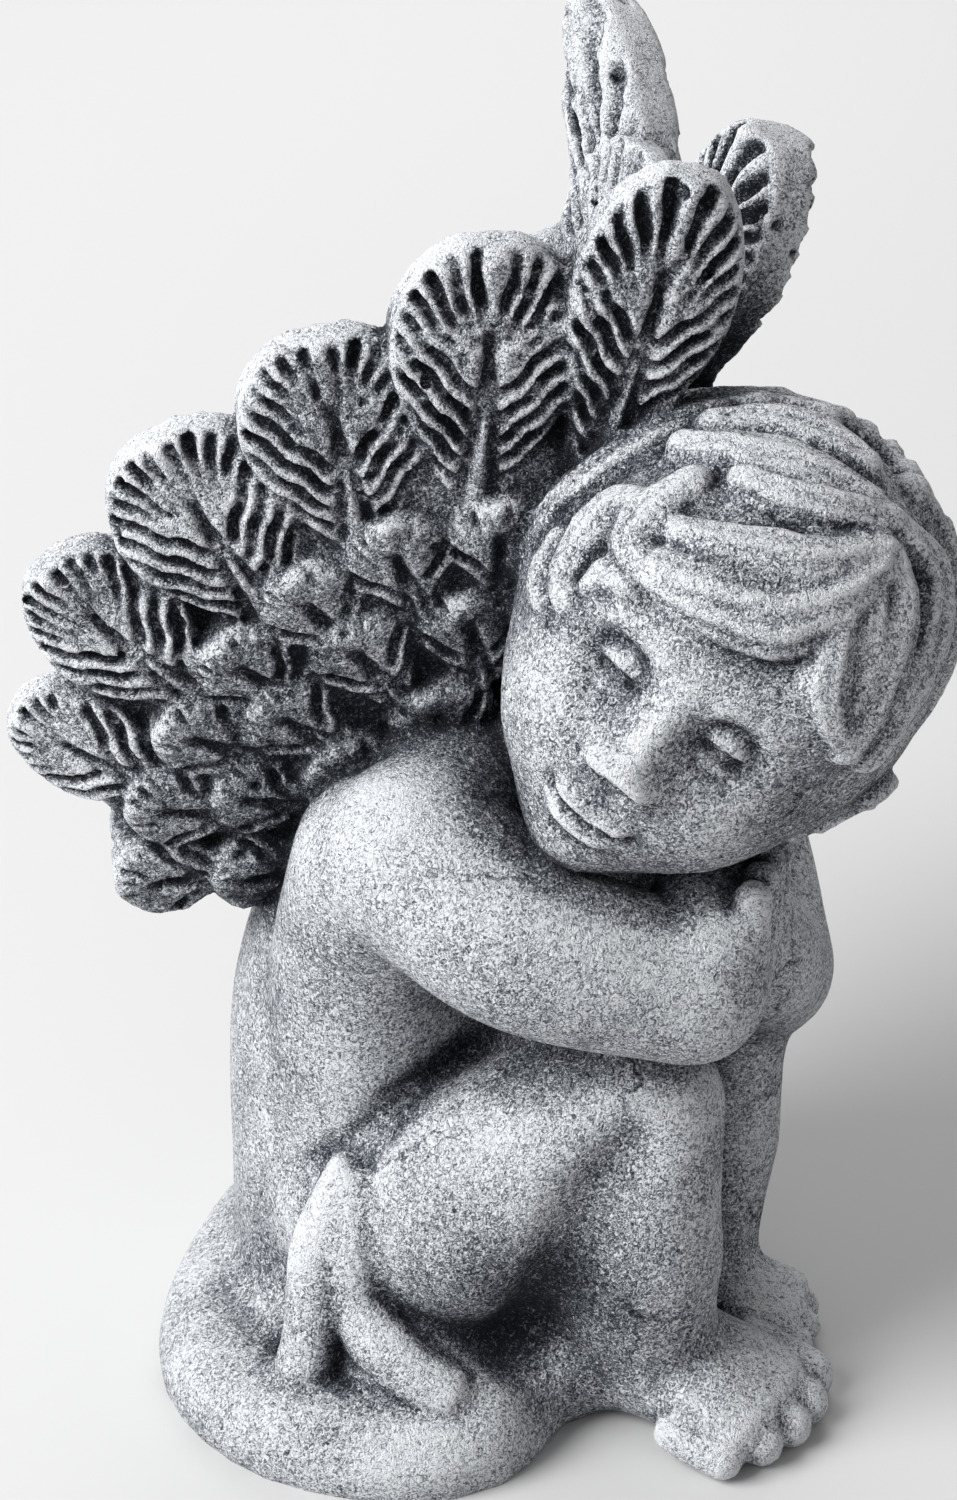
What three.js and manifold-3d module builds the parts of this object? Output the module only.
// Stone putto: a seated winged child that hugs its knees and lays its head on its arms.
// Millimetres, +Z up. The figure faces -Y and its left hand is +X.
// The origin lies on the flat underside, below the seat.
import * as THREE from "three";
import { SimplifyModifier } from "three/addons/modifiers/SimplifyModifier.js";
import { mergeVertices } from "three/addons/utils/BufferGeometryUtils.js";
import Module from "manifold-3d";

const STONE_COLOUR = 0x9a9da3;
const STONE_ROUGHNESS = 0.92;
const STONE_METALNESS = 0.0;
const WELD = 1e-4;
const HAIRBREADTH = 0.02;

// Facets of the round forms: around the section, along the spine, and in each rounded end.
const COARSE = { around: 20, along: 10, cap: 4 };
const MEDIUM = { around: 16, along: 7, cap: 4, rings: 10 };
const SMALL = { around: 10, along: 2, cap: 3, rings: 7 };
const LOCK = { around: 8, along: 7, cap: 2 };
const ROPE = { around: 10, along: 12, cap: 3 };
const SKIRT = { around: 12, along: 24, cap: 3 };
const ROD = { radius: 1, length: 1 };
const TRIANGLES = 9900;
const WING_TRIANGLES = 2500;
const SIDEWAYS = new THREE.Vector3(1, 0, 0);
const BACKWARD = new THREE.Vector3(0, 1, 0);
const UPWARD = new THREE.Vector3(0, 0, 1);

// Trunk: pelvis to chest, then a girdle across the shoulders and a neck leaning forward.
const TRUNK = {
  path: [[0, 14, 24], [0, 16, 62], [0, 7, 98]],
  wide: [41, 38, 33],
  deep: [33, 30, 25],
};
const FLANK = {
  path: [[33, 3, 102], [29, 10, 80], [28, 12, 58], [27, 14, 34]],
  wide: [16, 15, 14, 13],
  deep: [16, 16, 15, 14],
};
const LAP = {
  path: [[0, -8, 28], [0, -18, 60], [0, -22, 92]],
  wide: [28, 24, 24],
  deep: [20, 16, 16],
};
const GIRDLE = {
  path: [[-33, -6, 106], [0, 2, 110], [33, -6, 106]],
  wide: [16, 18, 16],
  deep: [15, 18, 15],
};
const NECK = {
  path: [[0, -4, 108], [-4, -18, 118], [-8, -34, 130]],
  wide: [19, 18, 20],
  deep: [17, 16, 18],
};

// Legs drawn up with the knees together; the left foot stands a little behind the right one.
const RIGHT_LEG = {
  thigh: {
    path: [[-24, 8, 31], [-28, -12, 41], [-20, -38, 61]],
    wide: [22, 22, 14],
    deep: [23, 24, 14],
  },
  calf: {
    path: [[-20, -40, 60], [-22, -36, 35], [-19, -37, 12]],
    wide: [12, 14, 12],
    deep: [12, 18, 14],
  },
  ankle: [-17, -38, 0],
  splay: -2,
  side: -1,
  foot: 1.08,
};
const LEFT_LEG = {
  thigh: {
    path: [[24, 8, 31], [27, -12, 41], [17, -34, 58]],
    wide: [22, 22, 14],
    deep: [23, 24, 14],
  },
  calf: {
    path: [[17, -35, 57], [17, -31, 34], [12, -32, 12]],
    wide: [12, 13, 11],
    deep: [12, 16, 13],
  },
  ankle: [6, -34, 0],
  splay: 10,
  side: 1,
  foot: 0.88,
};
const FOOT = {
  path: [[0, 11, 8], [0, -9, 8], [0, -20, 5]],
  wide: [12, 12, 15],
  deep: [9, 9, 6],
};
const TOES = { count: 5, spread: 26, start: -18, reach: -29.5, height: 4.5, drop: 2 };
// The toe line falls back to both sides of its longest place, which lies at a share of the spread.
const TOE_LINE = { longest: 0.4, retreat: 16 };
const TOE_RADIUS = { big: 4.6, small: 3.4 };

// Arms folded across the knees: the right one lies on top and its hand goes under the cheek.
const RIGHT_ARM = {
  path: [[-35, -4, 107], [-38, -24, 98], [-25, -48, 89]],
  wide: [17, 15, 13],
  deep: [16, 15, 13],
};
const RIGHT_FOREARM = {
  path: [[-25, -48, 89], [-6, -43, 91], [12, -36, 94]],
  wide: [13, 11, 9],
  deep: [13, 11, 9],
};
const LEFT_ARM = {
  path: [[35, -4, 107], [33, -26, 88], [18, -42, 69]],
  wide: [16, 14, 13],
  deep: [16, 14, 13],
};
const LEFT_FOREARM = {
  path: [[18, -42, 69], [4, -46, 80], [-8, -45, 92]],
  wide: [13, 12, 10],
  deep: [13, 12, 10],
};
const HAND = {
  path: [[-24, -50, 97], [-12, -46, 101], [2, -42, 102]],
  wide: [9, 9, 8],
  deep: [10, 10, 9],
};
const FINGERS = { count: 4, first: [-22, -57, 106], last: [-5, -53, 107], drop: 13, radius: 3.1 };

// Head laid on its left cheek: turned to the figure's right, tipped up a little and leaning.
const HEAD_CENTRE = [-8.7, -44, 143];
const HEAD_TURN = -75;
const HEAD_NOD = -10;
const HEAD_LEAN = 34;
const SKULL = { lateral: 33.5, front: 35, up: 36, around: 44, down: 30 };
// Swellings and hollows of the head: longitude and latitude from the face, spread, and height.
const SWELLINGS = [
  { name: "cheek", lon: 32, lat: -34, spread: 20, height: 4 },
  { name: "jaw", lon: 26, lat: -66, spread: 20, height: 2.6 },
  { name: "chin", lon: 0, lat: -60, spread: 13, height: 4.2 },
  { name: "muzzle", lon: 0, lat: -38, spread: 15, height: 2.5 },
  { name: "socket", lon: 19, lat: -7, spread: 10, height: -5 },
  { name: "temple", lon: 52, lat: -4, spread: 18, height: -1.5 },
  { name: "crown", lon: 0, lat: 80, spread: 48, height: 1.5 },
  { name: "nape", lon: 150, lat: 10, spread: 45, height: 1.2 },
  { name: "under the ear", lon: 105, lat: -45, spread: 26, height: -5 },
];
const EYEBALL = { lon: 19, lat: -8, sunk: 2.2, radius: 5 };
const NOSE = { top: -1, tip: -21, bridge: 2.2, end: 3.4, sunk: 1.6, lift: 1.8 };
const NOSTRIL = { lon: 6, lat: -24, radius: 2.3, lift: 0.4 };
const LIPS = { upper: -37.5, lower: -44, corner: 2.5, half: 11, thick: 2.1, lift: 0.6 };
const EAR = { lon: 84, top: -6, bottom: -30, wide: 2.6, deep: 5.5, lobe: 3.9, lift: -0.5 };
// Rolls of hair as longitude and latitude of their spine on the skull, with half width and lift.
const HAIR_ROLLS = [
  { spine: [[-64, 49], [-60, 64], [-32, 75], [0, 77]], wide: 6.5, deep: 4.5 },
  { spine: [[-57, 41], [-42, 52], [-19, 62], [16, 66]], wide: 6, deep: 4.5 },
  { spine: [[-31, 47], [-13, 53], [8, 60], [31, 64]], wide: 5.5, deep: 5 },
  { spine: [[-29, 28], [-13, 35], [5, 43], [29, 56]], wide: 5.5, deep: 5 },
  { spine: [[-25, 19], [-11, 23], [5, 29], [17, 39], [27, 51]], wide: 7.5, deep: 5 },
  { spine: [[-41, 38], [-40, 27], [-37, 19], [-29, 17]], wide: 5.5, deep: 4.5 },
  { spine: [[-41, 27], [-51, 21], [-51, 11], [-47, 0], [-42, -3]], wide: 5, deep: 4 },
  { spine: [[-38, 4], [-36, 9], [-29, 11]], wide: 3.5, deep: 3.5 },
  { spine: [[-60, 4], [-56, -6], [-47, -9]], wide: 4, deep: 3.5 },
  { spine: [[40, 63], [64, 56], [62, 41], [55, 25], [54, 10]], wide: 6, deep: 4.5 },
  { spine: [[32, 56], [42, 46], [43, 31], [45, 17], [44, 10]], wide: 5.5, deep: 4.5 },
  { spine: [[23, 38], [25, 28], [30, 19], [46, 10]], wide: 5, deep: 4.5 },
  { spine: [[31, 45], [35, 33], [38, 20]], wide: 4.5, deep: 4 },
];
const HAIR_TAPER = [0.6, 1, 0.6];
const NAPE_LOCKS = { count: 7, from: 112, to: 278, crown: 62, middle: 26, ends: -16, wide: 7, deep: 4 };

// Wings: one plane each, swept back and leaning outward; drawn for the left and mirrored.
const WING_ROOT = [16, 2, 132];
const WING_SWEEP = 55;
const WING_LEAN = 16;
const WING_PLATE = {
  path: [[-16, 38, -3], [8, 14, -3], [24, -16, -3], [26, -37, -3]],
  wide: [20, 26, 22, 13],
  deep: [7, 9, 9, 8],
};
const WING_WEB = {
  path: [
    [38, -35, -2.5], [50, -14, -2.5], [42, 14, -2.5],
    [21, 38, -2.5], [-8, 55, -2.5], [-26, 60, -2.5],
  ],
  wide: [11, 14, 14, 14, 14, 11],
  deep: [4, 4, 4, 4, 4, 4],
};
const TIP_LINE = [[55, -37], [70, -12], [63, 23], [41, 49], [-8, 80], [-36, 90]];
const BASE_LINE = [[34, -39], [42, -18], [30, 8], [10, 30], [-6, 36], [-22, 41]];
const FLIGHT = { count: 7, width: 30, crown: 5.5, back: 8, pitch: 4.6, groove: 2.2 };
// The lowest flight feather is narrow; they reach full width a few feathers up.
const LOWEST = { width: 16, grown: 3 };
const TOPMOST_WIDTH = 26;
// Two flight feathers of the left wing are shorter than those of the right.
const TUCKED = { from: 3, to: 4, share: 0.2 };
const CREST = { base: [-20, 45], tip: [25, 96], width: 21 };
const CARVED_BACKS = 1;
// Short feathers over the wing root: arcs of their middles, the innermost arc lying highest.
const COVERT_ARCS = [
  { line: [[-8, 27], [13, 22], [31, 2], [41, -22], [44, -40]], count: 7, length: 22, lift: 3 },
  { line: [[-4, 11], [16, 5], [28, -17], [29, -39]], count: 5, length: 20, lift: 4.5 },
  { line: [[0, -6], [14, -16], [17, -36]], count: 3, length: 18, lift: 6 },
];
const COVERT_FOCUS = [-14, -34];
const COVERT = { width: 16, crown: 5, back: 4, pitch: 4.2, groove: 1.8 };
const BARB_RAKE = 0.75;
const BARB_STEPS = [{ at: 0, sunk: 0 }, { at: 0.5, sunk: 0 }, { at: 0.75, sunk: 1 }];
const FEATHER_COLUMNS = [-1, -0.85, -0.12, 0, 0.12, 0.85, 1];
const CROWN_FALL = 0.45;
const FEATHER_NECK = 0.4;
const FEATHER_SHOULDER = 0.6;
const FEATHER_TIP = 0.985;
const HALVINGS = 24;

// Cloth under the seat: a low lump all round and two rope folds that fall over the right flank.
const CLOTH_ROLL = {
  path: [
    [-30, -17, 4], [-48, -15, 4], [-56, 8, 4], [-44, 30, 3.5],
    [0, 42, 6], [43, 31, 6], [53, 10, 6], [43, -12, 5],
  ],
  wide: [9.5, 9.5, 9.5, 9.5, 9.5, 9.5, 9.5, 9.5],
  deep: [14, 14, 13.5, 13, 11, 12, 13, 14],
};
const LOBE = {
  path: [[-45, -6, 13], [-43, -18, 5]],
  wide: [11, 12],
  deep: [11, 12],
};
const FOLDS = [
  {
    path: [[-43, 5, 47], [-49, 8, 35], [-53, 7.5, 20], [-57, 10, 6], [-60, 13, 1]],
    wide: [4.5, 5, 5, 5.5, 6],
    deep: [5, 5, 5, 5, 5],
  },
  {
    path: [[-43, 4, 47], [-47, 2.5, 37], [-49, 0.5, 26], [-51, -7, 19], [-49, -14, 13]],
    wide: [4.5, 5, 5, 6, 8],
    deep: [5, 5, 5, 5, 6],
  },
];
const SEAT = { centre: [0, 3, 8], radii: [52, 46, 22] };
const GROUND = { span: 400, height: 400 };

const kernel = await Module();
kernel.setup();

/** Turn a closed three.js geometry, moved to its place, into a solid. */
function solid(geometry, place = new THREE.Matrix4()) {
  const bare = new THREE.BufferGeometry();
  bare.setAttribute("position", geometry.getAttribute("position"));
  bare.setIndex(geometry.getIndex());
  const shell = mergeVertices(bare.applyMatrix4(place), WELD);
  const flipped = place.determinant() < 0;
  const index = shell.getIndex().array;
  const faces = [];
  for (let i = 0; i < index.length; i += 3) {
    const [a, b, c] = index.slice(i, i + 3);
    if (a !== b && b !== c && c !== a) {
      faces.push(a, flipped ? c : b, flipped ? b : c);
    }
  }
  return new kernel.Manifold(new kernel.Mesh({
    numProp: 3,
    vertProperties: Float32Array.from(shell.getAttribute("position").array),
    triVerts: Uint32Array.from(faces),
  }));
}

/** Join solids into one. */
function join(solids) {
  return solids.reduce((whole, piece) => whole.add(piece));
}

/** Read a list of values as one line of straight runs from t = 0 to t = 1. */
function along(values, t) {
  const place = t * (values.length - 1);
  const first = Math.min(Math.floor(place), values.length - 2);
  return THREE.MathUtils.lerp(values[first], values[first + 1], place - first);
}

/** Ellipsoid of given centre and radii. */
function blob(centre, radii, facets = MEDIUM) {
  const ball = new THREE.SphereGeometry(1, facets.around, facets.rings);
  ball.scale(...radii);
  ball.translate(...centre);
  return ball;
}

/** Round-ended limb bent along a path, its half width and half depth changing on the way. */
function limb({ path, wide, deep }, facets = COARSE, side = SIDEWAYS) {
  const spine = new THREE.CatmullRomCurve3(path.map((point) => new THREE.Vector3(...point)));
  const rod = new THREE.CapsuleGeometry(ROD.radius, ROD.length, facets.cap, facets.around, facets.along);
  const spots = rod.getAttribute("position");
  for (let i = 0; i < spots.count; i += 1) {
    const reach = spots.getY(i) + ROD.length / 2;
    const t = THREE.MathUtils.clamp(reach, 0, 1);
    const ahead = spine.getTangent(t);
    const across = side.clone().addScaledVector(ahead, -side.dot(ahead)).normalize();
    const lift = new THREE.Vector3().crossVectors(across, ahead);
    const halfWide = along(wide, t);
    const halfDeep = along(deep, t);
    const spot = spine.getPoint(t);
    spot.addScaledVector(ahead, (reach - t) * Math.min(halfWide, halfDeep));
    spot.addScaledVector(across, spots.getX(i) * halfWide);
    spot.addScaledVector(lift, spots.getZ(i) * halfDeep);
    spots.setXYZ(i, spot.x, spot.y, spot.z);
  }
  return rod;
}

/** The same form on the other side of the figure. */
function mirrored(form) {
  return { ...form, path: form.path.map(([x, y, z]) => [-x, y, z]) };
}

/** One drawn-up leg with its foot and toes, the foot splayed outward. */
function leg({ thigh, calf, ankle, splay, side, foot }) {
  const place = new THREE.Matrix4().makeRotationZ(THREE.MathUtils.degToRad(splay));
  place.scale(new THREE.Vector3(foot, foot, foot));
  place.setPosition(...ankle);
  const pieces = [limb(FOOT, MEDIUM)];
  for (let i = 0; i < TOES.count; i += 1) {
    const share = i / (TOES.count - 1);
    const x = side * THREE.MathUtils.lerp(-TOES.spread, TOES.spread, share) / 2;
    const radius = THREE.MathUtils.lerp(TOE_RADIUS.big, TOE_RADIUS.small, Math.sqrt(share));
    const tip = TOES.reach + TOE_LINE.retreat * (share - TOE_LINE.longest) ** 2 + radius;
    pieces.push(limb({
      path: [[x, TOES.start, TOES.height + TOES.drop / 2], [x, tip, TOES.height - TOES.drop / 2]],
      wide: [radius, radius],
      deep: [radius, radius],
    }, SMALL));
  }
  const shod = pieces.map((piece) => solid(piece, place));
  return join([solid(limb(thigh)), solid(limb(calf, MEDIUM)), ...shod]);
}

/** Point on the skull at a longitude and latitude measured from the middle of the face. */
function onSkull(lon, lat, lift) {
  const turn = THREE.MathUtils.degToRad(lon);
  const rise = THREE.MathUtils.degToRad(lat);
  return [
    Math.sin(turn) * Math.cos(rise) * (SKULL.lateral + lift),
    -Math.cos(turn) * Math.cos(rise) * (SKULL.front + lift),
    Math.sin(rise) * (SKULL.up + lift),
  ];
}

/** Height of the swellings and hollows at a place on the head. */
function swelling(lon, lat) {
  const here = new THREE.Vector3(...onSkull(lon, lat, 0)).normalize();
  let height = 0;
  for (const form of SWELLINGS) {
    for (const side of form.lon === 0 ? [1] : [1, -1]) {
      const there = new THREE.Vector3(...onSkull(side * form.lon, form.lat, 0)).normalize();
      const apart = THREE.MathUtils.radToDeg(here.angleTo(there)) / form.spread;
      height += form.height * Math.exp(-apart * apart);
    }
  }
  return height;
}

/** Point on the modelled surface of the head, raised by a lift. */
function onHead(lon, lat, lift) {
  return onSkull(lon, lat, swelling(lon, lat) + lift);
}

/** Skull and face as one ball pushed in and out by the swellings. */
function skull() {
  const ball = new THREE.SphereGeometry(1, SKULL.around, SKULL.down);
  ball.rotateX(Math.PI);
  const spots = ball.getAttribute("position");
  for (let i = 0; i < spots.count; i += 1) {
    const lat = THREE.MathUtils.radToDeg(Math.asin(THREE.MathUtils.clamp(spots.getZ(i), -1, 1)));
    const lon = THREE.MathUtils.radToDeg(Math.atan2(spots.getX(i), -spots.getY(i)));
    spots.setXYZ(i, ...onHead(lon, lat, 0));
  }
  return ball;
}

/** A roll of hair, or any band that follows the skull. */
function band(spine, wide, deep, lift, facets) {
  const path = spine.map(([lon, lat]) => onHead(lon, lat, lift));
  const middle = new THREE.Vector3(...path[Math.floor(path.length / 2)]);
  const run = new THREE.Vector3(...path[path.length - 1]).sub(new THREE.Vector3(...path[0]));
  const side = new THREE.Vector3().crossVectors(run, middle).normalize();
  return limb({ path, wide, deep }, facets, side);
}

/** Head with face and hair, posed. */
function head() {
  const pieces = [skull()];
  for (const side of [1, -1]) {
    const eye = onHead(side * EYEBALL.lon, EYEBALL.lat, -EYEBALL.sunk);
    pieces.push(blob(eye, [EYEBALL.radius, EYEBALL.radius, EYEBALL.radius], SMALL));
    const nostril = onHead(side * NOSTRIL.lon, NOSTRIL.lat, NOSTRIL.lift);
    pieces.push(blob(nostril, [NOSTRIL.radius, NOSTRIL.radius, NOSTRIL.radius], SMALL));
    pieces.push(band(
      [[side * EAR.lon, EAR.top], [side * EAR.lon, EAR.bottom]],
      [EAR.deep, EAR.lobe],
      [EAR.wide, EAR.wide],
      EAR.lift,
      SMALL,
    ));
  }
  pieces.push(limb({
    path: [onHead(0, NOSE.top, -NOSE.sunk), onHead(0, NOSE.tip, NOSE.lift)],
    wide: [NOSE.bridge, NOSE.end],
    deep: [NOSE.bridge, NOSE.end],
  }, SMALL));
  for (const lat of [LIPS.upper, LIPS.lower]) {
    const corner = lat + LIPS.corner;
    pieces.push(band(
      [[-LIPS.half, corner], [0, lat], [LIPS.half, corner]],
      [LIPS.thick / 2, LIPS.thick, LIPS.thick / 2],
      [LIPS.thick / 2, LIPS.thick, LIPS.thick / 2],
      LIPS.lift,
      LOCK,
    ));
  }
  for (const roll of HAIR_ROLLS) {
    const taper = HAIR_TAPER.map((share) => share * roll.wide);
    pieces.push(band(roll.spine, taper, [roll.deep, roll.deep, roll.deep], 0, LOCK));
  }
  for (let i = 0; i < NAPE_LOCKS.count; i += 1) {
    const lon = THREE.MathUtils.lerp(NAPE_LOCKS.from, NAPE_LOCKS.to, i / (NAPE_LOCKS.count - 1));
    pieces.push(band(
      [[lon, NAPE_LOCKS.crown], [lon, NAPE_LOCKS.middle], [lon, NAPE_LOCKS.ends]],
      HAIR_TAPER.map((share) => share * NAPE_LOCKS.wide),
      [NAPE_LOCKS.deep, NAPE_LOCKS.deep, NAPE_LOCKS.deep],
      0,
      LOCK,
    ));
  }
  const pose = new THREE.Euler(
    THREE.MathUtils.degToRad(HEAD_NOD),
    THREE.MathUtils.degToRad(HEAD_LEAN),
    THREE.MathUtils.degToRad(HEAD_TURN),
    "ZXY",
  );
  const place = new THREE.Matrix4().makeRotationFromEuler(pose);
  place.setPosition(...HEAD_CENTRE);
  return join(pieces.map((piece) => solid(piece, place)));
}

/** Half width of a feather at a share of its length. */
function featherHalf(width, share) {
  const widening = THREE.MathUtils.smoothstep(share, 0, FEATHER_SHOULDER);
  const neck = THREE.MathUtils.lerp(FEATHER_NECK, 1, widening);
  const beyond = Math.max(0, share - FEATHER_SHOULDER) / (1 - FEATHER_SHOULDER);
  return (width / 2) * neck * Math.sqrt(Math.max(0, 1 - beyond * beyond));
}

/** Place where a barb that leaves the quill at a height meets the feather's edge. */
function barbEnd(length, width, start) {
  let low = start;
  let high = length;
  for (let i = 0; i < HALVINGS; i += 1) {
    const middle = (low + high) / 2;
    if (middle - BARB_RAKE * featherHalf(width, middle / length) < start) {
      low = middle;
    } else {
      high = middle;
    }
  }
  return low;
}

/** Feather lying along +Y with chevron barbs and a quill on its face, or on both sides. */
function feather(length, width, plan, carvedBack) {
  const barbs = Math.round(length / plan.pitch);
  const points = [];
  const rings = [];
  for (let step = 0; step <= barbs * BARB_STEPS.length; step += 1) {
    const { at, sunk } = BARB_STEPS[step % BARB_STEPS.length];
    const start = (FEATHER_TIP * length * (Math.floor(step / BARB_STEPS.length) + at)) / barbs;
    const end = barbEnd(length, width, start);
    const half = featherHalf(width, end / length);
    const ring = [];
    const place = (column, depth, sign) => {
      const share = Math.abs(column);
      const cut = share === 0 ? 1 : sunk * (share < 1 ? 1 : 0);
      const height = depth * (1 - CROWN_FALL * share * share) - plan.groove * cut;
      ring.push(points.length / 3);
      points.push(column * half, start + (end - start) * share, sign * height);
    };
    FEATHER_COLUMNS.forEach((column) => place(column, plan.crown, 1));
    if (carvedBack) {
      FEATHER_COLUMNS.toReversed().forEach((column) => place(column, plan.back, -1));
    } else {
      [1, -1].forEach((column) => place(column, plan.back, -1));
    }
    rings.push(ring);
  }
  const faces = [];
  const around = rings[0].length;
  const last = rings.length - 1;
  for (let row = 0; row < last; row += 1) {
    for (let i = 0; i < around; i += 1) {
      const next = (i + 1) % around;
      faces.push(rings[row][i], rings[row][next], rings[row + 1][next]);
      faces.push(rings[row][i], rings[row + 1][next], rings[row + 1][i]);
    }
  }
  for (let i = 1; i < around - 1; i += 1) {
    faces.push(rings[0][0], rings[0][i + 1], rings[0][i]);
    faces.push(rings[last][0], rings[last][i], rings[last][i + 1]);
  }
  const shell = new THREE.BufferGeometry();
  shell.setAttribute("position", new THREE.Float32BufferAttribute(points, 3));
  shell.setIndex(faces);
  return shell;
}

/** Lay a feather in the wing's plane from its base to its tip. */
function layFeather(base, tip, lift, plan, width, carvedBack) {
  const run = tip.clone().sub(base);
  const shell = feather(run.length(), width, plan, carvedBack);
  shell.rotateZ(run.angle() - Math.PI / 2);
  shell.translate(base.x, base.y, lift);
  return shell;
}

/** Evenly spaced points on a smooth line through a few places. */
function spaced(places, count) {
  const line = new THREE.SplineCurve(places.map((place) => new THREE.Vector2(...place)));
  return line.getSpacedPoints(count - 1);
}

/** One wing, drawn as the left one and mirrored for the right; only the left has the tall crest. */
function wing(side) {
  const tall = side > 0;
  const pieces = [limb(WING_PLATE, MEDIUM), limb(WING_WEB, ROPE)];
  const tips = spaced(TIP_LINE, FLIGHT.count);
  const bases = spaced(BASE_LINE, FLIGHT.count);
  tips.forEach((tip, i) => {
    const carvedBack = tall && i >= FLIGHT.count - CARVED_BACKS;
    const tucked = tall && i >= TUCKED.from && i <= TUCKED.to;
    const end = tip.clone().lerp(bases[i], tucked ? TUCKED.share : 0);
    const grown = THREE.MathUtils.lerp(LOWEST.width, FLIGHT.width, Math.min(1, i / LOWEST.grown));
    const width = i === FLIGHT.count - 1 ? TOPMOST_WIDTH : grown;
    pieces.push(layFeather(bases[i], end, 0, FLIGHT, width, carvedBack));
  });
  if (tall) {
    const base = new THREE.Vector2(...CREST.base);
    pieces.push(layFeather(base, new THREE.Vector2(...CREST.tip), 0, FLIGHT, CREST.width, true));
  }
  const focus = new THREE.Vector2(...COVERT_FOCUS);
  for (const arc of COVERT_ARCS) {
    for (const middle of spaced(arc.line, arc.count)) {
      const half = middle.clone().sub(focus).setLength(arc.length / 2);
      const base = middle.clone().sub(half);
      pieces.push(layFeather(base, middle.clone().add(half), arc.lift, COVERT, COVERT.width, false));
    }
  }
  const sweep = THREE.MathUtils.degToRad(WING_SWEEP);
  const lean = THREE.MathUtils.degToRad(WING_LEAN);
  const span = new THREE.Vector3(Math.cos(sweep), Math.sin(sweep), 0);
  const outward = new THREE.Vector3(Math.sin(sweep), -Math.cos(sweep), 0);
  const rise = outward.clone().multiplyScalar(Math.sin(lean)).addScaledVector(UPWARD, Math.cos(lean));
  const place = new THREE.Matrix4().makeBasis(span, rise, new THREE.Vector3().crossVectors(span, rise));
  place.setPosition(...WING_ROOT);
  place.premultiply(new THREE.Matrix4().makeScale(side, 1, 1));
  return join(pieces.map((piece) => solid(piece, place)));
}

/** The four fingers of the left hand that hold the right forearm. */
function fingers() {
  const pieces = [];
  for (let i = 0; i < FINGERS.count; i += 1) {
    const share = i / (FINGERS.count - 1);
    const knuckle = new THREE.Vector3(...FINGERS.first).lerp(new THREE.Vector3(...FINGERS.last), share);
    const tip = knuckle.clone().addScaledVector(UPWARD, -FINGERS.drop);
    pieces.push(limb({
      path: [knuckle.toArray(), tip.toArray()],
      wide: [FINGERS.radius, FINGERS.radius],
      deep: [FINGERS.radius, FINGERS.radius],
    }, SMALL));
  }
  return pieces;
}

/** The outer skin of a solid, without any pocket sealed inside it. */
function skin(body) {
  return body.decompose().reduce((largest, part) => (part.volume() > largest.volume() ? part : largest));
}

/** Geometry of a solid. */
function geometryOf(body) {
  const data = body.getMesh();
  const geometry = new THREE.BufferGeometry();
  geometry.setAttribute("position", new THREE.BufferAttribute(Float32Array.from(data.vertProperties), 3));
  geometry.setIndex(new THREE.BufferAttribute(Uint32Array.from(data.triVerts), 1));
  return geometry;
}

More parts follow.
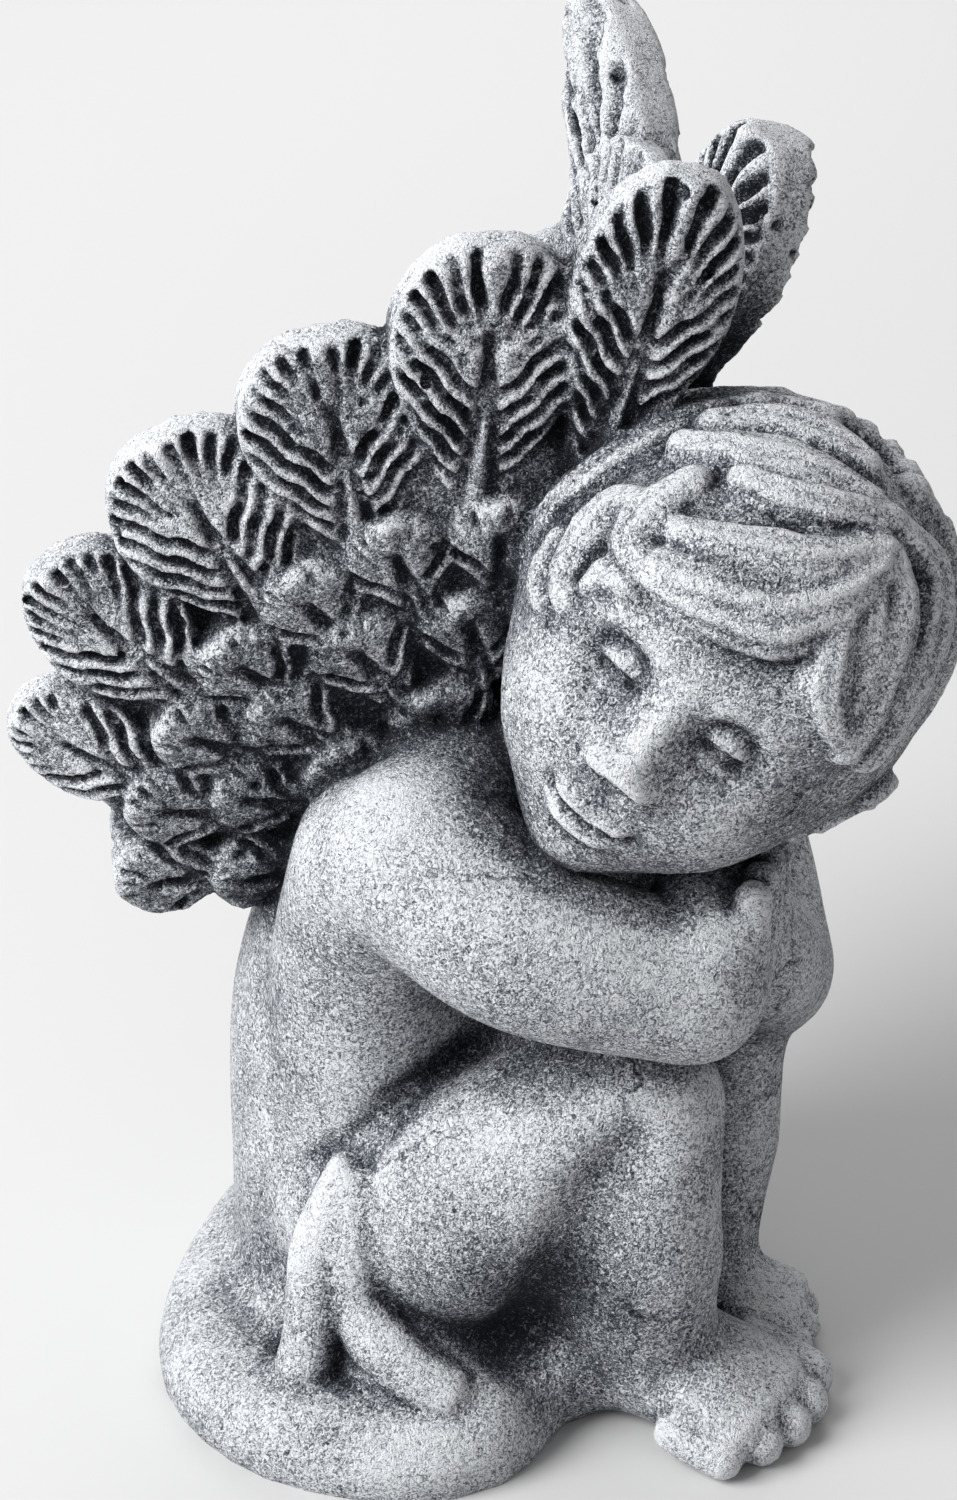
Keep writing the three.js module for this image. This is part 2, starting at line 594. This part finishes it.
/** Draw the touching corners of neighbouring surfaces a hair inward, so that each stays its own. */
function partTouching(geometry) {
  geometry.computeVertexNormals();
  const spots = geometry.getAttribute("position");
  const normals = geometry.getAttribute("normal");
  const meetings = new Map();
  for (let i = 0; i < spots.count; i += 1) {
    const spot = new THREE.Vector3().fromBufferAttribute(spots, i);
    const key = spot.divideScalar(HAIRBREADTH).round().toArray().join();
    meetings.set(key, [...(meetings.get(key) ?? []), i]);
  }
  for (const corners of meetings.values()) {
    for (const i of corners.length > 1 ? corners : []) {
      const spot = new THREE.Vector3().fromBufferAttribute(spots, i);
      spot.addScaledVector(new THREE.Vector3().fromBufferAttribute(normals, i), -HAIRBREADTH);
      spots.setXYZ(i, spot.x, spot.y, spot.z);
    }
  }
  return geometry;
}

/** A solid thinned to the triangles that its form needs. */
async function thinned(body, triangles) {
  const full = geometryOf(skin(body));
  const spare = Math.max(0, full.getIndex().count / 3 - triangles) / 2;
  return skin(solid(await new SimplifyModifier().modify(full, spare)));
}

/** The whole figure as one solid, cut flat on the ground. */
async function figure() {
  const forms = [
    limb(TRUNK),
    limb(LAP, MEDIUM),
    limb(FLANK, MEDIUM),
    limb(mirrored(FLANK), MEDIUM),
    limb(GIRDLE, MEDIUM, UPWARD),
    limb(NECK, MEDIUM),
    limb(RIGHT_ARM, MEDIUM),
    limb(RIGHT_FOREARM, MEDIUM, UPWARD),
    limb(LEFT_ARM, MEDIUM),
    limb(LEFT_FOREARM, MEDIUM, UPWARD),
    limb(HAND, MEDIUM, UPWARD),
    ...fingers(),
    limb(CLOTH_ROLL, SKIRT, UPWARD),
    limb(LOBE, MEDIUM),
    ...FOLDS.map((fold) => limb(fold, ROPE, BACKWARD)),
    blob(SEAT.centre, SEAT.radii),
  ];
  const body = join(forms.map((form) => solid(form)));
  const wings = [await thinned(wing(1), WING_TRIANGLES), await thinned(wing(-1), WING_TRIANGLES)];
  const whole = join([body, leg(RIGHT_LEG), leg(LEFT_LEG), head(), ...wings]);
  const room = new THREE.BoxGeometry(GROUND.span, GROUND.span, GROUND.height);
  room.translate(0, 0, GROUND.height / 2);
  return thinned(whole.intersect(solid(room)), TRIANGLES);
}

/** Mesh of a solid. */
function meshOf(body, name) {
  const geometry = partTouching(geometryOf(body));
  geometry.computeVertexNormals();
  const stone = new THREE.MeshStandardMaterial({
    color: STONE_COLOUR,
    roughness: STONE_ROUGHNESS,
    metalness: STONE_METALNESS,
  });
  const mesh = new THREE.Mesh(geometry, stone);
  mesh.name = name;
  return mesh;
}

const root = new THREE.Group();
root.name = "stone_putto_statue";
root.add(meshOf(await figure(), "putto"));

export default root;
